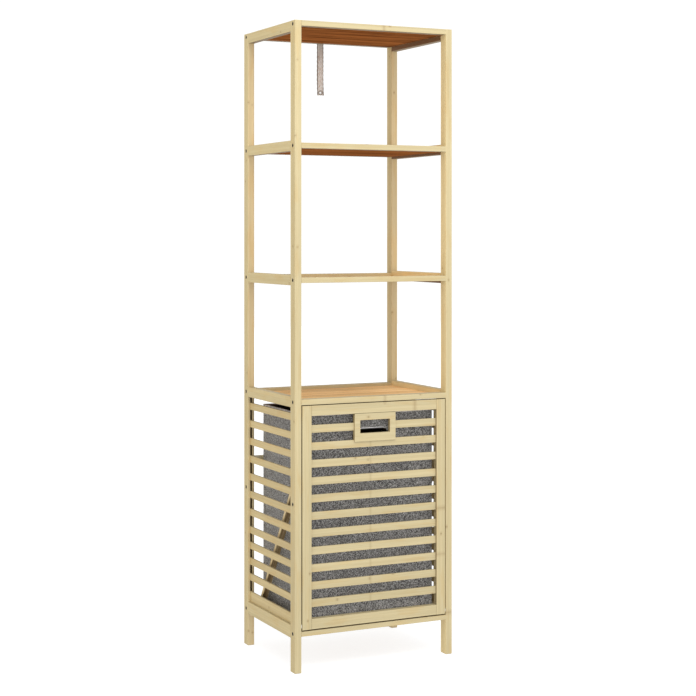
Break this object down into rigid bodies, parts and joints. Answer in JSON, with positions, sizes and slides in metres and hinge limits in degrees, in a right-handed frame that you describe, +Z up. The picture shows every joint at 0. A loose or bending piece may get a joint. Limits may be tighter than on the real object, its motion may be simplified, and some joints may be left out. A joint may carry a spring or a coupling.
{
  "type": "bamboo shelf tower with tilt-out laundry hamper",
  "caption": "Free-standing bamboo shelf tower with open shelves over a slatted tilt-out door that carries a removable fabric laundry bag.",
  "frame": {"origin": "centre of the four-post footprint, on the floor", "axes": "+Z up, the slatted door faces -Y, +X to the right of someone facing the door"},
  "size_m": [0.4, 0.3, 1.455],
  "materials": {
    "bamboo": "clear lacquered strip bamboo, satin",
    "bamboo_board": "clear lacquered bamboo board, satin",
    "dowel_wood": "plain turned beech",
    "dark_steel": "blackened steel",
    "zinc_steel": "zinc plated steel",
    "magnet": "bare ferrite",
    "catch_plastic": "moulded, matte",
    "nylon": "moulded nylon",
    "bag_fabric": "heathered non-woven cloth",
    "base_board": "stiff sheet",
    "ring_metal": "dark polished",
    "strap_webbing": "flat woven webbing"
  },
  "bodies": {
    "tower": {"catch_housing": "catch_plastic", "catch_magnet": "magnet", "catch_screws": "zinc_steel", "connector_bolts": "dark_steel", "frame_dowels": "dowel_wood", "pivot_pins": "zinc_steel", "pivot_washers": "nylon", "post_back_left": "bamboo", "post_back_right": "bamboo", "post_front_left": "bamboo", "post_front_right": "bamboo", "rail_back_base": "bamboo", "rail_back_lower": "bamboo", "rail_back_mid": "bamboo", "rail_back_middle": "bamboo", "rail_back_top": "bamboo", "rail_back_upper": "bamboo", "rail_front_base": "bamboo", "rail_front_lower": "bamboo", "rail_front_middle": "bamboo", "rail_front_top": "bamboo", "rail_front_upper": "bamboo", "shelf_board_lower": "bamboo_board", "shelf_board_middle": "bamboo_board", "shelf_board_top": "bamboo_board", "shelf_board_upper": "bamboo_board", "side_rail_base_left": "bamboo", "side_rail_base_right": "bamboo", "side_rail_lower_left": "bamboo", "side_rail_lower_right": "bamboo", "side_rail_middle_left": "bamboo", "side_rail_middle_right": "bamboo", "side_rail_top_left": "bamboo", "side_rail_top_right": "bamboo", "side_rail_upper_left": "bamboo", "side_rail_upper_right": "bamboo", "side_slats_left": "bamboo", "side_slats_right": "bamboo", "strap_eyelet": "zinc_steel", "strap_screw": "zinc_steel", "tether_strap": "strap_webbing", "threaded_inserts": "zinc_steel"},
    "hamper": {"bag_base_board": "base_board", "bag_grip_ring": "ring_metal", "brace_left": "bamboo", "brace_right": "bamboo", "catch_plate": "zinc_steel", "door_rail_bottom": "bamboo", "door_rail_top": "bamboo", "door_slats": "bamboo", "door_stile_left": "bamboo", "door_stile_right": "bamboo", "grip_frame": "bamboo", "hamper_dowels": "dowel_wood", "hamper_screws": "zinc_steel", "laundry_bag": "bag_fabric", "tray_bar_left": "bamboo", "tray_bar_rear": "bamboo", "tray_bar_right": "bamboo", "tray_panel": "bamboo_board"}
  },
  "joints": [
    {"name": "hamper_tilt", "type": "hinge", "parent": "tower", "child": "hamper", "pos_m": [0, -0.1425, 0.103], "axis": [1, 0, 0], "range_deg": [0, 35], "deforming": ["laundry_bag"]}
  ]
}
